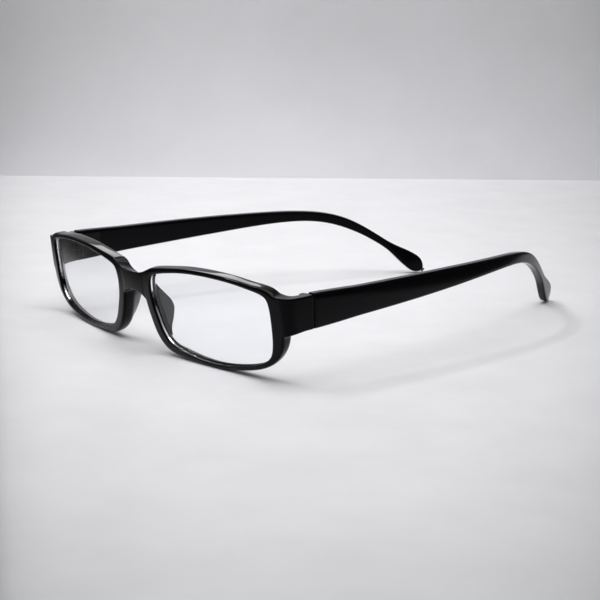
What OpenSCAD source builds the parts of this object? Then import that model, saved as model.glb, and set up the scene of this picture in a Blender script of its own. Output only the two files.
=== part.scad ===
// Full-rim computer glasses: a moulded front, two lenses and two hinged temples.
// Millimetres. X runs across the front, the front faces -Y, Z is up, and the
// open glasses stand on their rims and temple tips at Z = 0.

/* [Front] */
// Width of one lens opening
lens_w = 50; // [46:0.5:54]
// Height of one lens opening
lens_h = 26.2; // [22:0.2:32]
// Gap between the two lens openings
bridge_w = 18.1; // [15:0.1:22]
// Front to back depth of the rims
rim_depth = 4.2; // [3.6:0.1:5]
// Radius of the sideways wrap of the front
wrap_r = 255; // [200:5:400]
// Lean of the front, top edge forwards, in degrees
lean = 7.9; // [4:0.1:11]

/* [Rims] */
// Rim width over the lens
rim_top = 1.5; // [1.2:0.1:3]
// Rim width under the lens
rim_bottom = 1.6; // [1.3:0.1:3]
// Rim width beside the nose
rim_nose = 3.4; // [2.8:0.1:5]
// Rim width beside the end piece
rim_side = 4.9; // [4:0.1:6]

/* [Bridge] */
// Height of the bridge
bridge_h = 5.7; // [4:0.1:7]
// Dip of the bridge's top edge below the rims
bridge_dip = 0.8; // [0.5:0.1:2]

/* [Nose pads] */
// Reach of each pad behind the rim
pad_reach = 4.1; // [2:0.1:5]
// Thickness of each pad
pad_t = 1.7; // [1.4:0.1:2.4]

/* [Lenses] */
// Thickness of a lens
lens_t = 1.5; // [1.3:0.1:2.2]
// Depth of the lens groove
groove = 0.7; // [0.4:0.1:0.9]
// Clearance between lens and groove
lens_clear = 0.15; // [0.1:0.01:0.2]
// Step from the rim's front face to the lens
lens_inset = 1; // [0.8:0.1:1.3]

/* [Temples] */
// Length of a temple along its curve
temple_len = 148.5; // [130:0.5:155]
// Height of a temple at the hinge
temple_h = 10.4; // [9:0.1:13]
// Height of a temple in front of the ear
waist_h = 4; // [3:0.1:6]
// Height of a temple at its tip
tip_h = 7.8; // [4.5:0.1:9]
// Thickness of a temple
temple_t = 2.9; // [2.6:0.1:3.6]
// Downward turn of the ear bend, in degrees
ear_drop = 35; // [25:0.5:40]
// Inward turn of the ear bend, in degrees
ear_turn = 17.5; // [5:0.5:20]
// Steady inward bow of a temple, in degrees over 100 mm
bow = 10.7; // [0:0.1:12]

/* [Hinges] */
// Reach of the end piece behind the front
end_reach = 9; // [7:0.1:12]
// Height of the hinge's three knuckles
hinge_h = 6.6; // [5:0.1:8]
// Diameter of the knuckles
knuckle_d = 3; // [2.6:0.1:3.6]
// Diameter of the hinge screw
screw_d = 1.4; // [1.2:0.1:1.6]
// Thickness of the hinge plates
plate_t = 0.9; // [0.7:0.1:1.1]
// Gap at the joint between end piece and temple
butt_gap = 0.3; // [0.15:0.05:0.5]

/* [Hidden] */
$fn = 40;

// Colours
frame_black = [0.04, 0.04, 0.045];
lens_tint = [0.85, 0.87, 0.95, 0.45];
hinge_metal = [0.62, 0.6, 0.56];

// Curve through a list of rows, closed on itself, with steps points to each row
function spline_at(a, b, c, d, t) =
    b + (c - a) * t / 2 + (2 * a - 5 * b + 4 * c - d) * t * t / 2
    + (3 * b - a - 3 * c + d) * t * t * t / 2;
function closed_spline(rows, steps) = let (n = len(rows))
    [for (i = [0 : n - 1]) for (j = [0 : steps - 1])
        spline_at(rows[(i + n - 1) % n], rows[i], rows[(i + 1) % n], rows[(i + 2) % n], j / steps)];
// Curve through rows of [station, value...], read at one station
function along(rows, s, i = 0) = (i >= len(rows) - 2 || s < rows[i + 1][0])
    ? let (n = len(rows), t = (s - rows[i][0]) / (rows[i + 1][0] - rows[i][0]))
      spline_at(rows[max(i - 1, 0)], rows[i], rows[i + 1], rows[min(i + 2, n - 1)], t)
    : along(rows, s, i + 1);
function unit(v) = v / norm(v);
function ease(x) = 1 / (1 + exp(-x));

// Solid through a list of rings with the same number of points
module loft(rings, closed = false) {
    n = len(rings[0]);
    m = len(rings);
    points = [for (r = rings) each r];
    sides = [for (i = [0 : m - (closed ? 1 : 2)]) for (j = [0 : n - 1])
        let (a = i * n + j, b = i * n + (j + 1) % n,
             c = ((i + 1) % m) * n + (j + 1) % n, d = ((i + 1) % m) * n + j)
        each [[a, b, c], [a, c, d]]];
    first_cap = [for (j = [n - 1 : -1 : 0]) j];
    last_cap = [for (j = [0 : n - 1]) (m - 1) * n + j];
    polyhedron(points, closed ? sides : concat(sides, [first_cap, last_cap]), convexity = 8);
}

// The front's own surface is a leaning cylinder: x across, v up, depth behind its face
lean_v = 15;
function sag(x) = wrap_r - sqrt(wrap_r * wrap_r - x * x);
function wrap_angle(x) = asin(x / wrap_r);
function on_front(x, v, depth) = let (a = wrap_angle(x))
    [x - depth * sin(a),
     sag(x) / cos(lean) + depth * cos(a) * cos(lean) - tan(lean) * (v - lean_v),
     v + depth * cos(a) * sin(lean)];

// Lens opening: rows of [across, up, rim width, depth of the outer wall], as shares of
// the half sizes, of the rim widths and of the rim's depth, from the temple side over the top
open_x = bridge_w / 2 + lens_w / 2;
rim_rows = [
    [1.00, 0.20, rim_side * 0.8, 1],
    [0.985, 0.62, rim_side * 0.66, 1],
    [0.92, 0.81, rim_top * 1.5, 1],
    [0.70, 0.905, rim_top, 1],
    [0.40, 0.975, rim_top * 0.93, 1],
    [0.05, 1.00, rim_top * 0.93, 1],
    [-0.30, 0.975, rim_top * 0.95, 1],
    [-0.63, 0.89, rim_top * 1.05, 1],
    [-0.87, 0.79, rim_top * 1.45, 1],
    [-0.966, 0.69, rim_nose * 0.78, 1],
    [-1.005, 0.43, rim_nose * 0.88, 1],
    [-0.985, 0.08, rim_nose * 0.97, 1],
    [-0.925, -0.24, rim_nose * 1.03, 1],
    [-0.845, -0.56, rim_nose, 0.9],
    [-0.72, -0.79, rim_nose * 0.85, 0.75],
    [-0.51, -0.905, rim_bottom * 1.35, 0.65],
    [-0.22, -0.985, rim_bottom, 0.6],
    [0.12, -0.995, rim_bottom * 0.9, 0.6],
    [0.46, -0.92, rim_bottom * 0.9, 0.6],
    [0.76, -0.78, rim_bottom * 0.97, 0.6],
    [0.935, -0.57, rim_side * 0.42, 0.62],
    [0.99, -0.26, rim_side * 0.76, 0.8],
];
rim_steps = 4;
rim_shape = [for (r = closed_spline(rim_rows, rim_steps))
    [open_x + r[0] * lens_w / 2, r[1] * lens_h / 2, r[2], r[3]]];
rim_count = len(rim_shape);
// Outward direction of the opening's edge at a station
function rim_out(i) = let (a = rim_shape[(i + rim_count - 1) % rim_count],
                           b = rim_shape[(i + 1) % rim_count])
    unit([b[1] - a[1], a[0] - b[0]]);

groove_front = lens_inset - lens_clear;
groove_back = lens_inset + lens_t + lens_clear;
// Section of the rim: [outward from the opening, depth]. Its back falls away towards
// the lens, from the flat at back_in to the lip that holds the lens.
lens_lip = 0.35;
function rim_section(w, wall) = let (r = min(0.9, w * 0.4), q = r * 0.3,
        side = (rim_depth - r) * wall, back_out = w - r - (1 - wall) * w * 0.3,
        back_in = max(0.4, back_out - 0.55))
    [[0.35, 0], [w - r, 0], [w - q, q], [w, r], [w, side],
     [w - (w - back_out) * 0.3, rim_depth - (rim_depth - side) * 0.3],
     [back_out, rim_depth], [back_in, rim_depth], [0, groove_back + lens_lip], [0, groove_back],
     [groove, groove_back], [groove, groove_front], [0, groove_front], [0, 0.35]];
function rim_ring(i, v) = let (c = rim_shape[i], o = rim_out(i))
    [for (s = rim_section(c[2], c[3])) on_front(c[0] + o[0] * s[0], v + c[1] + o[1] * s[0], s[1])];
// Height of the openings' middle, so that the rims stand on the ground
open_v = -min([for (i = [0 : rim_count - 1]) for (p = rim_ring(i, 0)) p[2]]);
rim_curve = [for (r = rim_shape) [r[0], r[1] + open_v, r[2]]];
module rim() {
    loft([for (i = [rim_count - 1 : -1 : 0]) rim_ring(i, open_v)], closed = true);
}

// Ring with rounded corners round a centre, spanned by two half axes
ring_points = 16;
function soft(x) = sign(x) * pow(abs(x), 0.42);
function soft_ring(c, u, v) = [for (j = [0 : ring_points - 1])
    let (a = 360 * (j + 0.5) / ring_points) c + u * soft(cos(a)) + v * soft(sin(a))];

// Bridge between the rims: rows of [share of the half width, drop of the lower edge,
// climb of the upper edge, depth of its back], as shares of its height and the rim's depth
bridge_half = bridge_w * 0.445;
bridge_mid = lens_h * 0.39 - bridge_dip;
bridge_rows = [[0, 0, 0, 0.975], [0.35, 0.018, 0.018, 0.975], [0.62, 0.105, 0.06, 0.975],
               [0.84, 0.245, 0.165, 0.93], [1, 0.35, 0.23, 0.715]];
bridge_steps = 20;
bridge_proud = 0.3;
function bridge_ring(k) = let (e = along(bridge_rows, abs(k)), x = k * bridge_half,
        low = open_v + bridge_mid - bridge_h * (1 + e[1]), top = open_v + bridge_mid + bridge_h * e[2],
        v = (low + top) / 2, front = 0.1 - bridge_proud * (1 - k * k), back = rim_depth * e[3],
        mid = (front + back) / 2, c = on_front(x, v, mid))
    soft_ring(c, on_front(x, v, back) - c, on_front(x, top, mid) - c);
module bridge() {
    loft([for (i = [0 : bridge_steps]) bridge_ring(1 - 2 * i / bridge_steps)]);
}

// Nose pad: a fin behind the nose side of the rim, one ring to each station of the rim.
// Rows of [share of the way down, reach share, outward shift]
pad_shape = [[0, 0.02, 0], [0.17, 0.45, -0.1], [0.28, 0.75, 0.2], [0.36, 0.95, 0.9], [0.43, 1, 1.6],
             [0.51, 0.95, 1.95], [0.61, 0.76, 1.75], [0.72, 0.5, 1.1], [0.83, 0.26, 0.5], [1, 0.03, 0]];
pad_first = 37;
pad_last = 55;
function pad_ring(i) = let (k = (i - pad_first) / (pad_last - pad_first), e = along(pad_shape, k),
        c = rim_curve[i], o = rim_out(i), w = c[2] - pad_t / 2 - 0.3,
        root = on_front(c[0] + o[0] * w, c[1] + o[1] * w, rim_depth - pad_t * 0.65),
        tip = root + [e[2], pad_reach * e[1] + 0.02, 0], d = unit(tip - root))
    soft_ring((root + tip) / 2, (tip - root) / 2 + d * pad_t / 2,
              unit(cross(d, [-o[1], 0, o[0]])) * pad_t / 2);
module nose_pad() {
    loft([for (i = [pad_first : pad_last]) pad_ring(i)]);
}

// Joint between end piece and temple
arm_x = open_x + lens_w / 2 + rim_side;
butt_y = sag(arm_x) + end_reach;
arm_z = open_v + lens_h * 0.24;
hinge_z = arm_z + 0.3;
axis_x = arm_x - temple_t / 2 - knuckle_d / 2 - 0.25;
axis_y = butt_y;

// Temple: its centre line turns down and inwards at the ear
ear_len = 40;    // from the ear bend's middle to the tip
turn_len = 54;   // from the inward turn's middle to the tip
ear_soft = 7.7;  // how gradual the bend and the turn are
turn_soft = 9.8;
ear_at = temple_len - ear_len;
turn_at = temple_len - turn_len;
temple_steps = 36;
tip_round = 2.1;
// Stations along the temple, closer together round its tip
temple_stations = concat(
    [for (i = [0 : temple_steps]) (temple_len - tip_round) * i / temple_steps],
    [for (a = [30 : 15 : 75]) temple_len - tip_round * (1 - sin(a))], [temple_len - 0.02]);
station_count = len(temple_stations);
function pitch(s) = ear_drop * ease((s - ear_at) / ear_soft);
function yaw(s) = bow * s / 100 + ear_turn * ease((s - turn_at) / turn_soft);
function heading(s) = [-sin(yaw(s)) * cos(pitch(s)), cos(yaw(s)) * cos(pitch(s)), -sin(pitch(s))];
temple_line = [for (i = 0, p = [0, 0, 0]; i < station_count;
    p = p + heading((temple_stations[i] + temple_stations[min(i + 1, station_count - 1)]) / 2)
        * (temple_stations[min(i + 1, station_count - 1)] - temple_stations[i]), i = i + 1) p];
// Rows of [share of the length, height]
temple_heights = [[0, temple_h], [0.12, temple_h * 0.84], [0.35, temple_h * 0.33 + waist_h * 0.8],
                  [0.6, waist_h], [0.75, waist_h * 0.9], [0.88, tip_h * 0.56], [1, tip_h]];
// Share of the full section left at a station of the rounded tip
function tip_share(s) = let (k = max(0, (s - temple_len + tip_round) / tip_round))
    sqrt(max(0, 1 - k * k));
function temple_ring(i) = let (s = temple_stations[i], d = heading(s), t = tip_share(s),
        side = unit(cross(d, [0, 0, 1])), up = cross(side, d),
        h = along(temple_heights, s / temple_len)[1] / 2)
    soft_ring(temple_line[i], side * temple_t / 2 * (0.35 + 0.65 * t), up * (h - tip_round * (1 - t)));
// The temple rises from its hinge so that its tip comes down to the ground
tip_low = [for (i = [temple_steps - 4 : station_count - 1]) for (p = temple_ring(i)) p];
function rise_for(p) = asin(-arm_z / norm([p[1], p[2]])) - atan2(p[2], p[1]);
rise = max([for (p = tip_low) rise_for(p)]);
// The origin is under the middle of the open glasses
front_y = min([for (i = [0 : bridge_steps]) for (p = bridge_ring(1 - 2 * i / bridge_steps)) p[1]]);
back_y = butt_y + butt_gap / 2 + max([for (p = tip_low) p[1] * cos(rise) - p[2] * sin(rise)]);
mid_y = (front_y + back_y) / 2;

// End piece: from the side of the rim round to the joint
end_steps = 12;
end_start = on_front(open_x + lens_w / 2 + 1.4, lean_v, rim_depth / 2);
end_last = [arm_x, butt_y - butt_gap / 2];
// Rows of [share of the way, lower edge, upper edge] measured from the opening's centre
end_edges = [[0, -0.1 * lens_h, 0.43 * lens_h], [0.3, -0.03 * lens_h, 0.43 * lens_h],
             [0.6, 0.02 * lens_h, 0.424 * lens_h], [1, arm_z - temple_h / 2 - open_v,
             arm_z + temple_h / 2 - open_v - 0.2]];
function end_path(t) = let (a = [end_start[0], end_start[1]],
        b = [end_last[0], a[1] + (end_last[0] - a[0]) * tan(wrap_angle(a[0]))], c = end_last)
    a * (1 - t) * (1 - t) * (1 - t) + b * 3 * t * (1 - t) + c * t * t * t;
module end_piece() {
    loft([for (i = [0 : end_steps]) let (t = i / end_steps, e = along(end_edges, t),
            p = end_path(t), z = open_v + (e[1] + e[2]) / 2, slope = -tan(lean) * (1 - t) - tan(rise) * t,
            d = i == end_steps ? [0, 1] : unit(end_path(t + 0.02) - end_path(max(t - 0.02, 0))),
            k = (1 - t) * (1 - t), thick = rim_depth / 2 * k + temple_t / 2 * (1 - k))
        soft_ring([p[0], p[1] - tan(lean) * (1 - t) * (z - lean_v), z], [d[1], -d[0], 0] * thick,
                  [0, slope, 1] * (e[2] - e[1]) / 2)]);
}

// Hinge, square to the temple: plates sunk into the plastic, three knuckles on one screw
knuckle_gap = 0.08;
knuckle_h = (hinge_h - 2 * knuckle_gap) / 3;
plate_seat = 0.06;
pocket_lead = 4;  // seats by which a pocket opens past the plastic's inner face
plate_len = 7;
plate_proud = 0.35;
plate_x = arm_x - temple_t / 2 - plate_proud - axis_x;
plate_from = knuckle_d / 2 + 0.35;
neck_t = 1.2;
bore_d = screw_d + 0.1;
module at_hinge() {
    translate([axis_x, axis_y, hinge_z]) rotate([rise, 0, 0]) children();
}
// Plate behind (side 1) or before (side -1) the screw
module plate_box(side, grow) {
    y0 = side > 0 ? plate_from : -plate_from - plate_len;
    translate([plate_x - grow * pocket_lead, y0 - grow, -hinge_h / 2 - grow])
        cube([plate_t + grow * (pocket_lead + 1), plate_len + 2 * grow, hinge_h + 2 * grow]);
}
// Knuckle with its neck to the plate, from height z
module knuckle(side, z) {
    translate([0, 0, z]) cylinder(d = knuckle_d, h = knuckle_h);
    translate([plate_x + plate_proud - 0.05 - neck_t, side > 0 ? 0 : -plate_from - 1, z])
        cube([neck_t, plate_from + 1, knuckle_h]);
}
module hinge_bore() {
    translate([0, 0, -hinge_h]) cylinder(d = bore_d, h = 2 * hinge_h);
}

module front_frame() {
    color(frame_black) difference() {
        union() {
            rim();
            mirror([1, 0, 0]) rim();
            bridge();
            for (m = [0, 1]) mirror([m, 0, 0]) {
                nose_pad();
                end_piece();
            }
        }
        for (m = [0, 1]) mirror([m, 0, 0]) at_hinge() plate_box(-1, plate_seat);
    }
}

// Lens: its outline cut from a curved sheet that follows the front
lens_mid = lens_inset + lens_t / 2;
lens_reach = groove - lens_clear;
lens_turn = wrap_angle(open_x);
function lens_point(i) = let (r = rim_curve[i], o = rim_out(i), x = r[0] + o[0] * lens_reach,
        v = r[1] + o[1] * lens_reach, a = wrap_angle(x))
    [(x - lens_mid * sin(a) - open_x) * cos(lens_turn)
         + (sag(x) + lens_mid * cos(a) - sag(open_x)) * sin(lens_turn),
     (v - lean_v - sag(x) * sin(lean)) / cos(lean)];
sheet_h = 2 * lens_h;
module lens() {
    color(lens_tint) translate([0, 0, lean_v]) rotate([lean, 0, 0]) intersection() {
        translate([open_x, sag(open_x), 0]) rotate([90, 0, lens_turn])
            linear_extrude(height = 6 * lens_t, center = true)
                polygon([for (i = [0 : rim_count - 1]) lens_point(i)]);
        translate([0, wrap_r, -sheet_h / 2]) difference() {
            cylinder(r = wrap_r - lens_inset, h = sheet_h, $fn = 360);
            translate([0, 0, -1])
                cylinder(r = wrap_r - lens_inset - lens_t, h = sheet_h + 2, $fn = 360);
        }
    }
}

// Temple with the pocket for its hinge plate
module temple() {
    color(frame_black) difference() {
        translate([arm_x, butt_y + butt_gap / 2, arm_z]) rotate([rise, 0, 0])
            loft([for (i = [0 : station_count - 1]) temple_ring(i)]);
        at_hinge() plate_box(1, plate_seat);
    }
}

module front_hinge() {
    color(hinge_metal) at_hinge() difference() {
        union() {
            plate_box(-1, 0);
            knuckle(-1, -hinge_h / 2);
            knuckle(-1, hinge_h / 2 - knuckle_h);
        }
        hinge_bore();
    }
}
module temple_hinge() {
    color(hinge_metal) at_hinge() difference() {
        union() {
            plate_box(1, 0);
            knuckle(1, -knuckle_h / 2);
        }
        hinge_bore();
    }
}
head_d = 2.4;
head_h = 0.6;
head_gap = 0.03;
slot_w = 0.4;
slot_deep = 0.3;
module hinge_screw() {
    top = hinge_h / 2 + head_gap;
    color(hinge_metal) at_hinge() difference() {
        union() {
            translate([0, 0, -hinge_h / 2]) cylinder(d = screw_d, h = hinge_h + 2 * head_gap);
            translate([0, 0, top]) cylinder(d = head_d, h = head_h);
        }
        translate([-head_d, -slot_w / 2, top + head_h - slot_deep])
            cube([2 * head_d, slot_w, head_h]);
    }
}

module placed() {
    translate([0, -mid_y, 0]) children();
}
module mirrored() {
    placed() mirror([1, 0, 0]) children();
}

placed() front_frame();
placed() lens();  // lens_left
mirrored() lens();  // lens_right
placed() temple();  // temple_left
mirrored() temple();  // temple_right
placed() front_hinge();  // front_hinge_left
mirrored() front_hinge();  // front_hinge_right
placed() temple_hinge();  // temple_hinge_left
mirrored() temple_hinge();  // temple_hinge_right
placed() hinge_screw();  // hinge_screw_left
mirrored() hinge_screw();  // hinge_screw_right
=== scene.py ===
import math

import bmesh
import bpy
from mathutils import Matrix, Vector


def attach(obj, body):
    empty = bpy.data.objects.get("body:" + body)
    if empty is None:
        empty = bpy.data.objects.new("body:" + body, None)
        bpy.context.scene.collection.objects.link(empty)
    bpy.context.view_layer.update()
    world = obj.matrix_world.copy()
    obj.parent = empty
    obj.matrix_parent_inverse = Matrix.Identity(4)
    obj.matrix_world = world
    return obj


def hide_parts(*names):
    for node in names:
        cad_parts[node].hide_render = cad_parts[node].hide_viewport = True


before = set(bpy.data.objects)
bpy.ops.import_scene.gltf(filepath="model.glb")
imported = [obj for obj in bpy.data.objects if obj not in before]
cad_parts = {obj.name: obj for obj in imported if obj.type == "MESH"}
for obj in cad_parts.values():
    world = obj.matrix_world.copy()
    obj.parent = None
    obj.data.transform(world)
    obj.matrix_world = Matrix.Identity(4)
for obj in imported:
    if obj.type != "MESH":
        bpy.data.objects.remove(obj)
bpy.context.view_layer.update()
print("frame loaded")

mm = 0.001  # the dictionaries hold millimetres and degrees, but for the lamps' metres
mergeGap = 0.002

# How the open glasses stand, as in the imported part
stance = {
    "shift": -77.108,     # from the front's face to the middle of the glasses
    "wrapRadius": 255.0,
    "lean": 7.9,
    "leanHeight": 15.0,
    "openX": 34.05,       # middle of one lens opening
    "openZ": 14.4997,
    "openHalf": (25.0, 13.1),
    "armX": 63.95,
    "armZ": 20.788,
    "jointY": 16.999,
    "rise": 2.103,        # of the temples, from the hinge
}


def place(p):
    return Vector((p[0] * mm, (p[1] + stance["shift"]) * mm, p[2] * mm))


def sag(x):
    return stance["wrapRadius"] - math.sqrt(stance["wrapRadius"] ** 2 - x * x)


def onFront(x, z, depth):
    # a point on the leaning, wrapped front, depth behind its face
    a = math.asin(x / stance["wrapRadius"])
    lean = math.radians(stance["lean"])
    return Vector((x - depth * math.sin(a),
                   sag(x) / math.cos(lean) + depth * math.cos(a) * math.cos(lean)
                   - math.tan(lean) * (z - stance["leanHeight"]),
                   z + depth * math.cos(a) * math.sin(lean)))


def curveAt(a, b, c, d, t):
    return [q + (r - p) * t / 2 + (2 * p - 5 * q + 4 * r - s) * t * t / 2
            + (3 * q - p - 3 * r + s) * t ** 3 / 2 for p, q, r, s in zip(a, b, c, d)]


def along(rows, key):
    # reads rows of (key, value, ...) at one key, on a smooth curve
    i = 0
    while i < len(rows) - 2 and key >= rows[i + 1][0]:
        i += 1
    t = (key - rows[i][0]) / (rows[i + 1][0] - rows[i][0])
    t = min(max(t, 0.0), 1.0)
    before, after = rows[max(i - 1, 0)], rows[min(i + 2, len(rows) - 1)]
    return curveAt(before, rows[i], rows[i + 1], after, t)[1:]


# The edit-mode steps that every piece shares

def startLoop(name, count):
    if bpy.context.object and bpy.context.object.mode == "EDIT":
        bpy.ops.object.mode_set(mode="OBJECT")
    bpy.ops.object.select_all(action="DESELECT")
    bpy.ops.mesh.primitive_circle_add(vertices=count, radius=0.01, fill_type="NOTHING")
    piece = bpy.context.object
    piece.name = name
    piece.data.name = name
    bpy.ops.object.mode_set(mode="EDIT")
    bpy.ops.mesh.select_mode(type="VERT")
    bm = bmesh.from_edit_mesh(piece.data)
    bm.verts.layers.int.new("station")
    bm.verts.layers.int.new("lane")
    bm.verts.ensure_lookup_table()
    station = bm.verts.layers.int["station"]
    for i, v in enumerate(bm.verts):
        v[station] = i
    return piece


def editMesh(piece):
    bm = bmesh.from_edit_mesh(piece.data)
    return bm, bm.verts.layers.int["station"], bm.verts.layers.int["lane"]


def moveSelected(piece, pointOf, lane=None):
    bm, stationKey, laneKey = editMesh(piece)
    for v in bm.verts:
        if v.select:
            if lane is not None:
                v[laneKey] = lane
            v.co = place(pointOf(v[stationKey], v[laneKey]))
    bmesh.update_edit_mesh(piece.data)


def extrudeLoop(piece, pointOf, lane=None):
    bpy.ops.mesh.extrude_edges_move()
    moveSelected(piece, pointOf, lane)


def selectWhere(piece, kind, test):
    # selects the edges or faces that pass the test, which gets each with the
    # (station, lane) of its corners
    bpy.ops.mesh.select_all(action="DESELECT")
    bpy.ops.mesh.select_mode(type=kind)
    bm, stationKey, laneKey = editMesh(piece)
    for item in {"EDGE": bm.edges, "FACE": bm.faces}[kind]:
        if test(item, [(v[stationKey], v[laneKey]) for v in item.verts]):
            item.select_set(True)
    bm.select_flush_mode()
    bmesh.update_edit_mesh(piece.data)


def mergeDoubles():
    bpy.ops.mesh.select_all(action="SELECT")
    bpy.ops.mesh.remove_doubles(threshold=mergeGap * mm)


def closeSolid():
    mergeDoubles()
    bpy.ops.mesh.normals_make_consistent(inside=False)
    bpy.ops.object.mode_set(mode="OBJECT")


def selectOnly(piece):
    bpy.ops.object.select_all(action="DESELECT")
    piece.select_set(True)
    bpy.context.view_layer.objects.active = piece


def finishWith(piece, kind, **settings):
    modifier = piece.modifiers.new(kind.title(), kind)
    for key, value in settings.items():
        setattr(modifier, key, value)
    bpy.context.view_layer.objects.active = piece
    bpy.ops.object.modifier_apply(modifier=modifier.name)


def smoothed(piece, levels):
    finishWith(piece, "SUBSURF", levels=levels, render_levels=levels)
    selectOnly(piece)
    bpy.ops.object.shade_smooth()


def mirroredCopy(piece, name):
    selectOnly(piece)
    bpy.ops.object.duplicate()
    other = bpy.context.object
    other.name = name
    other.data.name = name
    other.scale.x = -1
    bpy.ops.object.transform_apply(location=True, rotation=True, scale=True)
    bpy.ops.object.mode_set(mode="EDIT")
    bpy.ops.mesh.select_all(action="SELECT")
    bpy.ops.mesh.normals_make_consistent(inside=False)
    bpy.ops.object.mode_set(mode="OBJECT")
    return other


# The front: rows of (across, up, rim width, share of the depth that its outer wall
# takes) round one opening, from the temple side over the top; across and up are
# shares of the opening's half size
front = {
    "rows": [(1.00, 0.20, 3.92, 1), (0.985, 0.62, 3.234, 1), (0.92, 0.81, 2.25, 1),
             (0.70, 0.905, 1.5, 1), (0.40, 0.975, 1.395, 1), (0.05, 1.00, 1.395, 1),
             (-0.30, 0.975, 1.425, 1), (-0.63, 0.89, 1.575, 1), (-0.87, 0.79, 2.05, 1),
             (-0.966, 0.69, 2.652, 1), (-1.005, 0.43, 2.992, 1), (-0.985, 0.08, 3.298, 1),
             (-0.925, -0.24, 3.502, 1), (-0.845, -0.56, 3.4, 0.9), (-0.72, -0.79, 2.89, 0.75),
             (-0.51, -0.905, 2.16, 0.65), (-0.22, -0.985, 1.6, 0.6), (0.12, -0.995, 1.44, 0.6),
             (0.46, -0.92, 1.44, 0.6), (0.76, -0.78, 1.552, 0.6), (0.935, -0.57, 2.058, 0.62),
             (0.99, -0.26, 3.724, 0.8)],
    "steps": 4,
    "depth": 4.2,
    "corner": 0.7,          # radius of the front's outer edge
    "slender": 0.4,         # largest share of a rim's width that a rounding takes
    "backRound": 0.9,       # of the back's outer edge
    "backFlat": 0.55,
    "backIn": 0.4,          # least distance of that flat from the opening
    "taper": 0.3,           # of the back, where the outer wall is shallow
    "edgeDepths": (0.45, 0.12),   # of the rounding at the opening's front edge
    "bevel": 0.1,           # of the lip
    "grooveFront": 0.85,    # depths of the groove's two sides behind the face
    "grooveBack": 2.65,
    "groove": 0.7,          # how far it reaches into the rim
    "lip": 0.35,            # behind the lens
    # (stations, squareness): where the bridge and the end piece grow, the section is
    # square, and it rounds off over the stations beside them
    "square": ((-1, 1.0), (0, 0.8), (1, 0.45), (2, 0.18)),
    "levels": 2,
}
stationCount = len(front["rows"]) * front["steps"]
outerLanes = (5, 9)   # of the section: from the front's outer edge to the back's

# The bridge grows from the stations beside the nose: rows of (distance from the
# middle, upper edge, lower edge, depth of the back)
bridge = {
    "stations": (35, 43),
    "rows": [(0.0, 24.15, 18.22, 4.1), (2.8, 24.22, 18.12, 4.1), (5.0, 24.5, 17.62, 4.1),
             (6.8, 25.0, 16.82, 4.0), (8.1, 25.55, 16.22, 3.9), (10.0, 26.4, 15.2, 3.9)],
    "proud": 0.3,           # of its face, in front of the rims' over "faceHalf"
    "faceHalf": 8.05,
    "faceStart": 0.1,
    "faceRise": (0.04, 0.07),   # share of the way at which the face starts, and its length
    "slant": 2.2,           # of its top, down to the back, over "slantHalf"
    "slantHalf": 9.4,
    "heightBlend": 0.6,     # share of the way over which it leaves the rim's height
    "depthBlend": 0.4,
    "crease": 0.45,
    "shares": (0.06, 0.13, 0.25, 0.45, 0.65, 0.85, 1.0),
}

# The end piece grows from the stations beside the temple
endPiece = {
    "stations": (-2, 6),
    "outer": 65.4,
    "inner": 62.5,
    "top": 25.65,
    "low": 15.65,
    "outerRadius": 3.0,
    "innerRadius": 0.8,
    "dip": 0.3,             # of its top edge at the corner
    "crease": 0.35,
    "capInset": 0.12,       # share of the way to the middle, on its flat end
    "legShare": 0.9,        # most of a straight leg that the corner's rounding takes
    "arcShare": 0.8,        # length of the rounding, as a share of its two legs
    "shares": (0.08, 0.18, 0.28, 0.38, 0.48, 0.6, 0.75, 0.9, 0.97, 1.0),
}

# The nose pad: rows of (height, across, distance behind the rim) of its rear edge
pad = {
    "stations": (40, 53),
    "lanes": (9, 11),       # of the rim's section, round the middle one
    "edge": [(3.0, 13.6, 0.05), (5.0, 12.6, 0.1), (6.0, 12.0, 0.25), (7.0, 11.5, 0.7),
             (8.0, 11.05, 1.2), (9.0, 10.8, 1.75), (10.0, 10.65, 2.3), (11.0, 10.4, 2.8),
             (12.0, 10.25, 3.2), (13.0, 10.1, 3.6), (14.0, 9.7, 3.9), (15.0, 9.1, 3.95),
             (16.0, 8.35, 3.9), (17.0, 7.3, 3.4), (18.0, 6.3, 2.9), (19.0, 5.6, 2.2),
             (20.2, 5.9, 0.9), (22.0, 6.5, 0.1)],
    "half": 0.5,            # of its thickness at the rear edge
    "round": 0.3,
    "shares": (0.3, 0.65, 0.9, 1.0),
}


def rimStations():
    rows, steps = front["rows"], front["steps"]
    found = []
    for i in range(len(rows)):
        for j in range(steps):
            r = curveAt(rows[i - 1], rows[i], rows[(i + 1) % len(rows)],
                        rows[(i + 2) % len(rows)], j / steps)
            found.append((stance["openX"] + r[0] * stance["openHalf"][0],
                          stance["openZ"] + r[1] * stance["openHalf"][1], r[2], r[3]))
    return found


rimLine = rimStations()


def rimOut(i):
    # outward direction of the opening's edge
    a, b = rimLine[(i - 1) % stationCount], rimLine[(i + 1) % stationCount]
    return Vector((b[1] - a[1], a[0] - b[0])).normalized()


def inStations(i, span):
    return (i - span[0]) % stationCount <= span[1] - span[0]


def shareOf(i, span):
    return ((i - span[0]) % stationCount) / (span[1] - span[0])


def squareness(i):
    # 1 where another form grows from the rim's outer wall, 0 elsewhere
    for span in (bridge["stations"], endPiece["stations"]):
        for wider, amount in front["square"]:
            if inStations(i, (span[0] - wider, span[1] + wider)):
                return amount
    return 0.0


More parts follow.
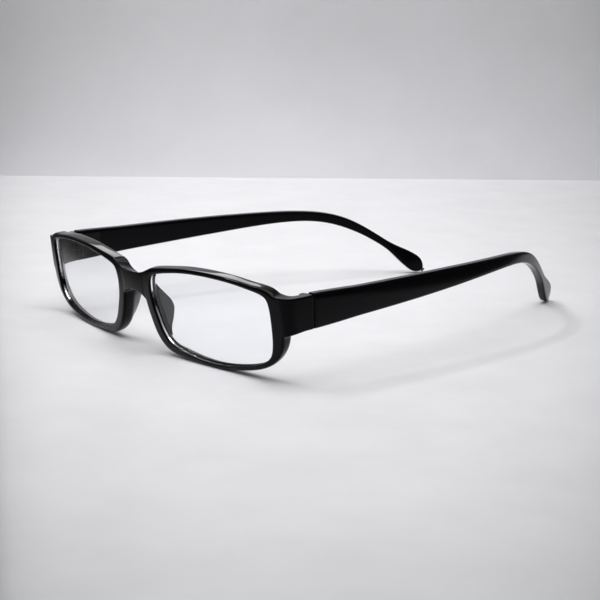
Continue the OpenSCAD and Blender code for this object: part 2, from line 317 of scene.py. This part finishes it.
def rimSection(w, wall, square):
    # lanes of (outward from the opening, depth)
    d, bevel, taper = front["depth"], front["bevel"], front["taper"]
    fore, rear, floor = front["grooveFront"], front["grooveBack"], front["groove"]
    r = min(front["corner"], front["slender"] * w)
    side = (d - front["backRound"]) * wall
    backOut = w - min(front["backRound"], front["slender"] * w) - (1 - wall) * w * taper
    backIn = max(front["backIn"], backOut - front["backFlat"])
    holdBack = rear + front["lip"]
    # the outer wall, rounded, and the square one that the bridge or end piece leaves
    rounded = [(w - r * 0.29, r * 0.29), (w, r), (w, (r + side) / 2), (w, side),
               (w - (w - backOut) * 0.3, d - (d - side) * 0.3)]
    flat = [(w, 0.0), (w, d * 0.25), (w, d * 0.5), (w, d * 0.75), (w, d)]
    outer = [(p[0] + (q[0] - p[0]) * square, p[1] + (q[1] - p[1]) * square)
             for p, q in zip(rounded, flat)]
    face = [(0.0, front["edgeDepths"][0]), (0.05, front["edgeDepths"][1]), (0.25, 0.0),
            (w * 0.5, 0.0), (w - r, 0.0)]
    back = [(backOut, d), (backIn, d), (backIn * 0.45, holdBack + (d - holdBack) * 0.45),
            (bevel, holdBack + bevel), (0.0, holdBack - bevel)]
    groove = [(0.0, rear), (floor, rear), (floor, fore), (0.0, fore)]
    return face + outer + back + groove


laneCount = len(rimSection(2.0, 1, 0))


def rimPoint(i, lane):
    i %= stationCount
    x, z, w, wall = rimLine[i]
    out, depth = rimSection(w, wall, squareness(i))[lane]
    o = rimOut(i)
    return onFront(x + o.x * out, z + o.y * out, depth)


def smoothStep(t):
    t = min(max(t, 0.0), 1.0)
    return t * t * (3 - 2 * t)


def rimEdge(i):
    # the rim's outer edge at a station, as (x, z) on the front's own surface
    x, z, w = rimLine[i % stationCount][:3]
    o = rimOut(i)
    return x + o.x * w, z + o.y * w


def depthShare(lane):
    return (lane - outerLanes[0]) / (outerLanes[1] - outerLanes[0])


def bridgePoint(i, lane, t):
    # t runs from the rim's outer wall to the middle of the front
    x0, z0 = rimEdge(i)
    side = depthShare(lane)
    share = shareOf(i, bridge["stations"])
    x = x0 * (1 - t)
    top, low, back = along(bridge["rows"], x)
    top0, low0 = along(bridge["rows"], x0)[:2]
    top -= bridge["slant"] * max(0.0, 1 - (x / bridge["slantHalf"]) ** 2) * side
    z = top + (low - top) * share
    leaving = max(0.0, 1 - t / bridge["heightBlend"]) ** 2
    z += (z0 - top0 - (low0 - top0) * share) * leaving
    face = -bridge["proud"] * (1 - (x / bridge["faceHalf"]) ** 2) + bridge["faceStart"]
    start, length = bridge["faceRise"]
    face *= smoothStep((t - start) / length)
    back += (front["depth"] - back) * (1 - smoothStep(t / bridge["depthBlend"]))
    return onFront(x, z, face + (back - face) * side)


def roundCorner(start, slope, x1, y1, radius, t):
    # in plan: from start along the front, round a corner at x1, then back to y1
    reach = x1 - start.x
    corner = Vector((x1, start.y + reach * slope))
    ahead = Vector((1, slope)).normalized()
    before = min(radius, (corner - start.xy).length * endPiece["legShare"])
    after = min(radius, (y1 - corner.y) * endPiece["legShare"])
    a, b = corner - ahead * before, corner + Vector((0, after))
    end = Vector((x1, y1))
    arc = (before + after) * endPiece["arcShare"]
    lengths = [(a - start.xy).length, arc, (end - b).length]
    s = t * sum(lengths)
    if s <= lengths[0]:
        return start.xy.lerp(a, s / lengths[0])
    s -= lengths[0]
    if s <= lengths[1]:
        u = s / lengths[1]
        return a * (1 - u) ** 2 + corner * 2 * u * (1 - u) + b * u * u
    return b.lerp(end, min(1.0, (s - lengths[1]) / lengths[2]))


def endPoint(i, lane, t):
    # t runs from the rim's outer wall round the corner to the joint
    share = shareOf(i, endPiece["stations"])
    zEnd = endPiece["low"] + (endPiece["top"] - endPiece["low"]) * share
    rails = []
    for rail, x1, radius in ((outerLanes[0], endPiece["outer"], endPiece["outerRadius"]),
                             (outerLanes[1], endPiece["inner"], endPiece["innerRadius"])):
        start = rimPoint(i, rail)
        slope = math.tan(math.asin(start.x / stance["wrapRadius"]))
        lift = math.tan(math.radians(stance["rise"])) * (zEnd - stance["armZ"])
        p = roundCorner(start, slope, x1, stance["jointY"] - lift, radius, t)
        z = start.z + (zEnd - start.z) * (1 - (1 - t) ** 2)
        z -= endPiece["dip"] * 4 * t * (1 - t) * share ** 4
        rails.append(Vector((p.x, p.y, z)))
    return rails[0].lerp(rails[1], depthShare(lane))


def padPoint(i, lane, t):
    # t runs from the rim's back to the pad's rear edge
    spine = sum(pad["lanes"]) // 2
    middle = rimPoint(i, spine)
    base = rimPoint(i, lane) - middle
    lowest, highest = pad["edge"][0][0], pad["edge"][-1][0]
    across, back = along(pad["edge"], min(max(middle.z, lowest), highest))
    reach = Vector((across - middle.x, back, 0))
    ahead = reach.normalized()
    thin = Vector((-ahead.y, ahead.x, 0)) * pad["half"] * (spine - lane)
    tip = middle + reach * t + base * (1 - t) + thin * t
    if lane == spine and t == 1.0:
        tip += ahead * pad["round"]
    return tip


def creaseRails(piece, spots, amount):
    # keeps the edges drawn out from these (station, lane) spots tight when subdivided
    bm, stationKey, laneKey = editMesh(piece)
    layers = bm.edges.layers.float
    crease = layers.get("crease_edge") or layers.new("crease_edge")
    for e in bm.edges:
        a, b = ((v[stationKey], v[laneKey]) for v in e.verts)
        if a == b and a in spots:
            e[crease] = amount
    bmesh.update_edit_mesh(piece.data)


def within(at, span, lanes):
    return all(inStations(i, span) and lanes[0] <= lane <= lanes[1] for i, lane in at)


def buildRim():
    piece = startLoop("frontFrame", stationCount)
    moveSelected(piece, rimPoint, lane=0)
    for lane in range(1, laneCount):
        extrudeLoop(piece, rimPoint, lane)
    # the last lane closes on the first
    extrudeLoop(piece, lambda i, lane: rimPoint(i, 0))
    mergeDoubles()
    return piece


def growFromWall(piece, form, pointOf):
    span = form["stations"]
    selectWhere(piece, "FACE", lambda f, at: within(at, span, outerLanes))
    bpy.ops.mesh.delete(type="FACE")
    selectWhere(piece, "EDGE", lambda e, at: e.is_boundary and all(
        inStations(i, span) for i, lane in at))
    for t in form["shares"]:
        extrudeLoop(piece, lambda i, lane: pointOf(i, lane, t))


def buildFront():
    piece = buildRim()
    growFromWall(piece, bridge, bridgePoint)
    growFromWall(piece, endPiece, endPoint)
    # the flat end at the joint
    middle = Vector(((endPiece["outer"] + endPiece["inner"]) / 2, stance["jointY"],
                     (endPiece["low"] + endPiece["top"]) / 2))
    extrudeLoop(piece, lambda i, lane: endPoint(i, lane, 1.0).lerp(middle, endPiece["capInset"]))
    bpy.ops.mesh.edge_face_add()
    for form in (bridge, endPiece):
        spots = [(i % stationCount, lane) for i in form["stations"] for lane in outerLanes]
        creaseRails(piece, spots, form["crease"])

    # nose pads, drawn back from the rim
    selectWhere(piece, "FACE", lambda f, at: len(f.verts) == 4
                and within(at, pad["stations"], pad["lanes"]))
    for t in pad["shares"]:
        bpy.ops.mesh.extrude_region_move()
        moveSelected(piece, lambda i, lane: padPoint(i, lane, t))

    closeSolid()
    finishWith(piece, "MIRROR", use_axis=(True, False, False), use_clip=True,
               merge_threshold=2 * mergeGap * mm)
    bpy.ops.object.mode_set(mode="EDIT")
    closeSolid()
    smoothed(piece, front["levels"])
    return piece


# Lenses
lens = {
    "inset": 1.0,
    "thick": 1.5,
    "reach": 0.55,          # into the groove
    "rings": (0.93, 0.8, 0.62, 0.42, 0.22, 0.08),
    "sharp": 35,            # degrees between faces up to which an edge is shaded smooth
}


def lensPoint(i, share, depth):
    x, z = rimLine[i % stationCount][:2]
    o = rimOut(i)
    x, z = x + o.x * lens["reach"], z + o.y * lens["reach"]
    x = stance["openX"] + (x - stance["openX"]) * share
    z = stance["openZ"] + (z - stance["openZ"]) * share
    return onFront(x, z, depth)


def buildLens():
    piece = startLoop("lensLeft", stationCount)
    moveSelected(piece, lambda i, lane: lensPoint(i, 1.0, lens["inset"]), lane=0)
    for ring, share in enumerate(lens["rings"], 1):
        extrudeLoop(piece, lambda i, lane: lensPoint(i, share, lens["inset"]), ring)
    bpy.ops.mesh.merge(type="CENTER")
    bpy.ops.mesh.select_all(action="SELECT")
    bpy.ops.mesh.extrude_region_move()
    # the same rings again at the back; the middle vertex has the most edges
    shares = (1.0,) + lens["rings"]
    bm, stationKey, laneKey = editMesh(piece)
    back = [v for v in bm.verts if v.select]
    middle = max(back, key=lambda v: len(v.link_edges))
    for v in back:
        share = 0.0 if v == middle else shares[v[laneKey]]
        v.co = place(lensPoint(v[stationKey], share, lens["inset"] + lens["thick"]))
    bmesh.update_edit_mesh(piece.data)
    closeSolid()
    selectOnly(piece)
    bpy.ops.object.shade_smooth_by_angle(angle=math.radians(lens["sharp"]))
    return piece


# Temples: the centre line turns down and inwards at the ear. Each bend is given as
# (degrees, mm from the temple's end, softness)
temple = {
    "length": 148.5,
    "thick": 2.9,
    "gap": 0.3,
    "earDrop": (37.0, 40.36, 7.66),
    "earTurn": (17.65, 54, 9.8),
    "flare": (2.98, 12.42, 3.5),     # of the tip, outwards
    "roll": (-7.89, 20.89, 4.0),
    "bow": 10.7,            # inwards over 100 mm
    "heights": [(0, 10.4), (0.12, 8.736), (0.35, 6.632), (0.6, 4.0), (0.75, 3.6), (0.88, 2.86),
                (0.94, 5.7), (1, 6.91)],
    "tipRound": (6.15, 5.5),   # of the tip's upper and lower corner
    "tipThin": 0.35,        # least share of the thickness, at the end
    "edge": 0.62,           # radius of the section's corners
    "edgeShare": 0.7,       # of half the thickness, at most
    "startInset": 0.22,     # of the end at the joint, which rounds its edge
    "start": [0.0, 0.25, 0.9],
    "capInset": 0.2,
    "steps": 56,
    "ring": 28,
    "levels": 1,
}


def bendAt(name, s):
    # degrees of a bend that the temple has turned by its station s
    degrees, fromEnd, softness = temple[name]
    return degrees / (1 + math.exp((temple["length"] - s - fromEnd) / softness))


def heading(s):
    drop = math.radians(bendAt("earDrop", s))
    turn = math.radians(temple["bow"] * s / 100 + bendAt("earTurn", s) - bendAt("flare", s))
    return Vector((-math.sin(turn) * math.cos(drop), math.cos(turn) * math.cos(drop),
                   -math.sin(drop)))


def templeLine():
    length, tip, start = temple["length"], max(temple["tipRound"]), temple["start"][-1]
    stations = list(temple["start"])
    stations += [start + (length - tip - start) * (i + 1) / temple["steps"]
                 for i in range(temple["steps"])]
    # closer together round the tip
    stations += [length - tip * (1 - math.sin(math.radians(a))) for a in range(15, 90, 15)]
    points, p = [], Vector((0, 0, 0))
    for a, b in zip(stations, stations[1:] + [stations[-1]]):
        points.append((a, p.copy()))
        p += heading((a + b) / 2) * (b - a)
    return points


armLine = templeLine()


def roundedSection(j, count, a, b, corner):
    # a point on a rectangle with round corners: a and b are its half sizes
    t = 4 * j / count
    quarter, u = int(t) % 4, t - int(t)
    cx, cy = a - corner, b - corner
    spots = [(cx, cy), (-cx, cy), (-cx, -cy), (cx, -cy)]
    angle = math.radians(90 * quarter + 90 * u)
    x, y = spots[quarter]
    return x + corner * math.cos(angle), y + corner * math.sin(angle)


def templeSection(k):
    # half the height, half the thickness and the middle's lift, at a station
    s = armLine[k][0]
    half = along(temple["heights"], s / temple["length"])[0] / 2
    cuts = []   # how far the rounding takes in the upper and the lower edge
    for r in temple["tipRound"]:
        over = max(0.0, (s - temple["length"] + r) / r)
        cuts.append(r * (1 - math.sqrt(max(0.0, 1 - over * over))))
    left = 1 - cuts[0] / temple["tipRound"][0]
    lift, half = (cuts[1] - cuts[0]) / 2, half - (cuts[0] + cuts[1]) / 2
    thick = temple["thick"] / 2 * (temple["tipThin"] + (1 - temple["tipThin"]) * left)
    inset = temple["startInset"] if k == 0 else 0.0
    return half - inset, thick - inset, lift


def templePoint(j, k):
    s, centre = armLine[k]
    d = heading(s)
    side = d.cross(Vector((0, 0, 1))).normalized()
    up = side.cross(d)
    roll = math.radians(bendAt("roll", s))
    side, up = (side * math.cos(roll) + up * math.sin(roll),
                up * math.cos(roll) - side * math.sin(roll))
    half, thick, lift = templeSection(k)
    corner = min(temple["edge"], thick * temple["edgeShare"])
    x, z = roundedSection(j + 0.5, temple["ring"], thick, half, corner)
    p = centre + side * x + up * (z + lift)
    rise = math.radians(stance["rise"])
    y = p.y * math.cos(rise) - p.z * math.sin(rise)
    z = p.y * math.sin(rise) + p.z * math.cos(rise)
    return Vector((stance["armX"] + p.x, stance["jointY"] + temple["gap"] + y,
                   stance["armZ"] + z))


def buildTemple():
    piece = startLoop("templeLeft", temple["ring"])
    moveSelected(piece, lambda j, lane: templePoint(j, 0), lane=0)
    for k in range(1, len(armLine)):
        extrudeLoop(piece, lambda j, lane: templePoint(j, k), k)
    for k in (0, len(armLine) - 1):
        selectWhere(piece, "EDGE", lambda e, at: e.is_boundary and all(
            lane == k for j, lane in at))
        ring = [templePoint(j, k) for j in range(temple["ring"])]
        middle = sum(ring, Vector()) / temple["ring"]
        extrudeLoop(piece, lambda j, lane: ring[j].lerp(middle, temple["capInset"]),
                    lane=len(armLine) + k)
        bpy.ops.mesh.edge_face_add()
    closeSolid()
    smoothed(piece, temple["levels"])
    return piece


# Materials

def newMaterial(name):
    material = bpy.data.materials.new(name)
    material.use_nodes = True
    nodes, links = material.node_tree.nodes, material.node_tree.links
    return material, nodes, links, nodes["Principled BSDF"]


def setInputs(node, values):
    for socket, value in values.items():
        node.inputs[socket].default_value = value
    return node


def noiseNode(nodes, links, vector, values):
    noise = setInputs(nodes.new("ShaderNodeTexNoise"), values)
    links.new(vector, noise.inputs["Vector"])
    return noise.outputs["Fac"]


def rangeNode(nodes, links, value, before, after):
    span = setInputs(nodes.new("ShaderNodeMapRange"), {
        "From Min": before[0], "From Max": before[1], "To Min": after[0], "To Max": after[1]})
    links.new(value, span.inputs["Value"])
    return span.outputs["Result"]


def mixByFactor(nodes, links, factor, first, second):
    # the surface is the second shader where the factor is 1
    mix = nodes.new("ShaderNodeMixShader")
    links.new(factor, mix.inputs["Fac"])
    links.new(first.outputs["BSDF"], mix.inputs[1])
    links.new(second.outputs["BSDF"], mix.inputs[2])
    links.new(mix.outputs["Shader"], nodes["Material Output"].inputs["Surface"])


def addGrain(nodes, links, shader, look, roughFrom, bumpFrom):
    # uneven roughness and a fine bump, each from a noise
    rough = rangeNode(nodes, links, roughFrom, look["noiseSpan"], look["roughness"])
    bump = setInputs(nodes.new("ShaderNodeBump"), {
        "Strength": look["bump"], "Distance": look["bumpHeight"] * mm})
    links.new(rough, shader.inputs["Roughness"])
    links.new(bumpFrom, bump.inputs["Height"])
    links.new(bump.outputs["Normal"], shader.inputs["Normal"])


plastic = {
    "colour": (0.0024, 0.0024, 0.003, 1),
    "ior": 1.45,
    "ahead": (0.12, 0.12, 0.13, 1),   # tint of what a face reflects head on
    "flow": {"Scale": 260.0, "Detail": 2},     # slow unevenness of the moulded surface
    "grain": {"Scale": 2600.0, "Detail": 3},
    "noiseSpan": (0.35, 0.65),
    "roughness": (0.03, 0.07),
    "bump": 0.035,
    "bumpHeight": 0.02,
}


def makePlastic():
    material, nodes, links, shader = newMaterial("moulded black plastic")
    setInputs(shader, {"Base Color": plastic["colour"], "IOR": plastic["ior"],
                       "Specular Tint": plastic["ahead"]})
    place3d = nodes.new("ShaderNodeTexCoord").outputs["Object"]
    flow = noiseNode(nodes, links, place3d, plastic["flow"])
    grain = noiseNode(nodes, links, place3d, plastic["grain"])
    addGrain(nodes, links, shader, plastic, flow, grain)
    return material


lensLook = {
    "tint": (0.975, 0.98, 0.995, 1),
    "ior": 1.38,
}


def makeLensGlass():
    # clear to shadow rays, so that light falls through it
    material, nodes, links, shader = newMaterial("coated clear lens")
    setInputs(shader, {"Base Color": lensLook["tint"], "Roughness": 0.0,
                       "IOR": lensLook["ior"], "Transmission Weight": 1.0})
    shadow = nodes.new("ShaderNodeLightPath").outputs["Is Shadow Ray"]
    mixByFactor(nodes, links, shadow, shader, nodes.new("ShaderNodeBsdfTransparent"))
    return material


metal = {
    "colour": (0.02, 0.017, 0.014, 1),
    "stretch": (900.0, 900.0, 90.0),   # of the brushed lines, along Z
    "lines": {"Scale": 1.0, "Detail": 4},
    "noiseSpan": (0.0, 1.0),
    "roughness": (0.28, 0.45),
    "bump": 0.15,
    "bumpHeight": 0.02,
}


def makeHingeMetal():
    material, nodes, links, shader = newMaterial("plated hinge metal")
    setInputs(shader, {"Base Color": metal["colour"], "Metallic": 1.0})
    place3d = nodes.new("ShaderNodeTexCoord").outputs["Object"]
    stretch = setInputs(nodes.new("ShaderNodeMapping"), {"Scale": metal["stretch"]})
    links.new(place3d, stretch.inputs["Vector"])
    lines = noiseNode(nodes, links, stretch.outputs["Vector"], metal["lines"])
    addGrain(nodes, links, shader, metal, lines, lines)
    return material


# The picture: the camera, table, wall and light of the photograph
view = {
    "place": (372.742, -238.979, 112.243),
    "right": (0.631217, 0.775566, 0.007865),
    "up": (-0.171827, 0.129943, 0.976520),
    "back": (0.756333, -0.617748, 0.215285),
    "lens": 88.0,
    "sensor": 36.0,
    "clip": (10.0, 50000.0),
}


def makeCamera():
    bpy.ops.object.camera_add()
    camera = bpy.context.object
    camera.name = "camera"
    right, up, back = (Vector(view[k]).normalized() for k in ("right", "up", "back"))
    at = place(view["place"])
    camera.matrix_world = Matrix(((right.x, up.x, back.x, at.x), (right.y, up.y, back.y, at.y),
                                  (right.z, up.z, back.z, at.z), (0, 0, 0, 1)))
    camera.data.lens = view["lens"]
    camera.data.sensor_width = view["sensor"]
    camera.data.clip_start, camera.data.clip_end = (d * mm for d in view["clip"])
    bpy.context.scene.camera = camera


# The table and the wall are pale, with painted shade: their colour darkens to the sides,
# and with the distance on the table and the height on the wall, where the light falls off. Rows
# of
# "far" give the paint by the distance from the point under the camera (table) or by the height
# (wall), in shares of "reach"; rows of "side" give its share by the slope to either side
room = {
    "tableBack": 832.0,      # from under the camera to the table's far edge
    "tableSide": 2600.0,
    "tableFront": 700.0,
    "wallHigh": 1600.0,
    "wallFoot": -60.0,
    "table": {"reach": 850.0, "grain": 38.0, "mottle": 0.035,
              "far": ((0.0, 0.12), (0.2, 0.42), (0.32, 0.62), (0.44, 0.745), (0.6, 0.79),
                      (0.75, 0.74), (1.0, 0.7)),
              "side": ((-0.48, 0.04), (-0.3, 0.06), (-0.25, 0.14), (-0.207, 0.78),
                       (-0.115, 0.96), (0.0, 1.0), (0.115, 0.96), (0.2, 0.83), (0.26, 0.66),
                       (0.31, 0.55), (0.34, 0.08), (0.48, 0.04))},
    "wall": {"reach": 400.0, "grain": 9.0, "mottle": 0.05,
             "far": ((0.0, 0.94), (0.08, 0.89), (0.17, 0.82), (0.25, 0.78), (0.33, 0.84),
                     (0.45, 0.95), (0.7, 0.85), (1.0, 0.5)),
             "side": ((-0.48, 0.35), (-0.29, 0.7), (-0.19, 0.9), (-0.1, 0.98), (0.0, 1.0),
                      (0.1, 0.98), (0.19, 0.9), (0.29, 0.7), (0.48, 0.35))},
    "widest": 0.48,          # slope of the outermost rows
    "nearest": 50.0,         # distance under which the slope stays as it is
    "tint": (1.0, 0.998, 1.02),
    "surface": {"Roughness": 0.7, "Specular IOR Level": 0.2},
    "patches": {"Detail": 8, "Roughness": 0.62},
    "noiseSpan": (0.3, 0.7),
}


def paintRamp(nodes, links, key, rows, tint):
    ramp = nodes.new("ShaderNodeValToRGB")
    ramp.color_ramp.interpolation = "CARDINAL"
    while len(ramp.color_ramp.elements) < len(rows):
        ramp.color_ramp.elements.new(0.5)
    for element, (at, value) in zip(ramp.color_ramp.elements, rows):
        element.position = at
        element.color = [value * c for c in tint] + [1]
    links.new(key, ramp.inputs["Fac"])
    return ramp.outputs["Color"]


def mathNode(nodes, links, operation, *terms):
    node = nodes.new("ShaderNodeMath")
    node.operation = operation
    for socket, term in zip(node.inputs, terms):
        if isinstance(term, float):
            socket.default_value = term
        else:
            links.new(term, socket)
    return node.outputs["Value"]


def fromUnderCamera(nodes, links, place3d, foot, turn):
    # slope to the side, distance ahead and height, seen from the point under the camera
    local = nodes.new("ShaderNodeMapping")
    local.vector_type = "TEXTURE"
    setInputs(local, {"Location": foot, "Rotation": (0, 0, turn)})
    parts = nodes.new("ShaderNodeSeparateXYZ")
    links.new(place3d, local.inputs["Vector"])
    links.new(local.outputs["Vector"], parts.inputs["Vector"])
    ahead = mathNode(nodes, links, "MAXIMUM", parts.outputs["Y"], room["nearest"] * mm)
    slope = mathNode(nodes, links, "DIVIDE", parts.outputs["X"], ahead)
    return slope, parts.outputs["Y"], parts.outputs["Z"]


def surfaceWithPaintedShade(name, paint, foot, turn, upright):
    material, nodes, links, shader = newMaterial(name)
    setInputs(shader, room["surface"])
    place3d = nodes.new("ShaderNodeTexCoord").outputs["Object"]
    slope, ahead, height = fromUnderCamera(nodes, links, place3d, foot, turn)
    share = mathNode(nodes, links, "MULTIPLY_ADD", slope, 0.5 / room["widest"], 0.5)
    far = mathNode(nodes, links, "DIVIDE", height if upright else ahead, paint["reach"] * mm)
    # the "side" and "far" ramps are painted shade, darker where the light falls off; the noise
    # patches are the surface's own uneven tone
    sideRows = [(0.5 + at / room["widest"] / 2, value) for at, value in paint["side"]]
    side = paintRamp(nodes, links, share, sideRows, (1, 1, 1))
    deep = paintRamp(nodes, links, far, paint["far"], room["tint"])
    patches = noiseNode(nodes, links, place3d, {"Scale": paint["grain"], **room["patches"]})
    level = rangeNode(nodes, links, patches, room["noiseSpan"],
                      (1 - paint["mottle"], 1 + paint["mottle"]))
    amount = mathNode(nodes, links, "MULTIPLY", side, level)
    colour = nodes.new("ShaderNodeVectorMath")
    colour.operation = "SCALE"
    links.new(deep, colour.inputs[0])
    links.new(amount, colour.inputs["Scale"])
    links.new(colour.outputs["Vector"], shader.inputs["Base Color"])
    if upright:
        # seen from behind the wall is clear, so that the object shows in every view
        behind = nodes.new("ShaderNodeNewGeometry").outputs["Backfacing"]
        mixByFactor(nodes, links, behind, shader, nodes.new("ShaderNodeBsdfTransparent"))
    return material


def addPlane(name, width, height, rotation, location, material):
    bpy.ops.mesh.primitive_plane_add(size=1)
    plane = bpy.context.object
    plane.name = name
    plane.scale = (width * mm, height * mm, 1)
    plane.rotation_euler = rotation
    plane.location = location
    bpy.ops.object.transform_apply(location=True, rotation=True, scale=True)
    plane.data.materials.append(material)


def makeRoom():
    back = Vector(view["back"])
    away = Vector((-back.x, -back.y, 0)).normalized()
    turn = math.atan2(away.y, away.x) - math.pi / 2
    eye = place(view["place"])
    foot = Vector((eye.x, eye.y, 0))
    bpy.ops.object.select_all(action="DESELECT")
    deep = room["tableBack"] + room["tableFront"]
    addPlane("table", room["tableSide"], deep, (0, 0, turn),
             foot + away * (room["tableBack"] - deep / 2) * mm,
             surfaceWithPaintedShade("pale stone table with painted shade", room["table"], foot, turn, False))
    middle = room["wallHigh"] / 2 + room["wallFoot"]
    addPlane("wall", room["tableSide"] * 2, room["wallHigh"], (math.pi / 2, 0, turn),
             foot + (away * room["tableBack"] + Vector((0, 0, middle))) * mm,
             surfaceWithPaintedShade("pale wall with painted shade", room["wall"], foot, turn, True))


# Each lamp: name, direction, distance, width and height in metres, power in watts
light = {
    "lamps": (("softbox", (-0.08, 0.06, 1.0), 0.85, 1.0, 0.9, 6.9),
              ("leftStrip", (-0.756, -0.198, 0.60), 0.9, 0.12, 0.3, 0.4),
              ("backStrip", (-0.718, 0.233, 0.656), 0.39, 0.15, 0.1, 0.16),
              ("edgeStrip", (-0.47, -0.25, 0.8), 0.9, 0.3, 0.03, 1.3)),
    "worldSpan": (0.25, 0.75),      # of the direction's height
    "worldStrength": (0.01, 0.65),  # at its two ends
    "worldColour": (0.97, 0.975, 1.0, 1),
}


def makeLamps():
    for name, direction, distance, width, height, power in light["lamps"]:
        bpy.ops.object.light_add(type="AREA")
        lamp = bpy.context.object
        lamp.name = name
        lamp.data.shape = "RECTANGLE"
        lamp.data.size, lamp.data.size_y = width, height
        lamp.data.energy = power
        spot = Vector(direction).normalized() * distance
        lamp.location = spot
        lamp.rotation_euler = (-spot).to_track_quat("-Z", "Y").to_euler()


def makeWorld():
    world = bpy.data.worlds.new("room light")
    bpy.context.scene.world = world
    world.use_nodes = True
    nodes, links = world.node_tree.nodes, world.node_tree.links
    where = nodes.new("ShaderNodeTexCoord").outputs["Generated"]
    parts = nodes.new("ShaderNodeSeparateXYZ")
    links.new(where, parts.inputs["Vector"])
    strength = rangeNode(nodes, links, parts.outputs["Z"], light["worldSpan"],
                         light["worldStrength"])
    links.new(strength, nodes["Background"].inputs["Strength"])
    nodes["Background"].inputs["Color"].default_value = light["worldColour"]


bpy.context.scene.view_settings.view_transform = "Standard"
makeCamera()
makeRoom()
makeLamps()
makeWorld()
print("camera and room ready")

blackPlastic = makePlastic()
clearLens = makeLensGlass()
hingeMetal = makeHingeMetal()

frontPiece = buildFront()
frontPiece.data.materials.append(blackPlastic)
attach(frontPiece, "front")
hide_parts("front_frame")
print("front ready")

lensLeft = buildLens()
lensLeft.data.materials.append(clearLens)
lensRight = mirroredCopy(lensLeft, "lensRight")
for piece, node in ((lensLeft, "lens_left"), (lensRight, "lens_right")):
    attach(piece, "front")
    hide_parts(node)
print("lenses ready")

templeLeft = buildTemple()
templeLeft.data.materials.append(blackPlastic)
templeRight = mirroredCopy(templeLeft, "templeRight")
for piece, node, body in ((templeLeft, "temple_left", "arm_left"),
                          (templeRight, "temple_right", "arm_right")):
    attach(piece, body)
    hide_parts(node)
print("temples ready")

for name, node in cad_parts.items():
    if "hinge" in name:
        node.data.materials.clear()
        node.data.materials.append(hingeMetal)

print("hinge metal ready")
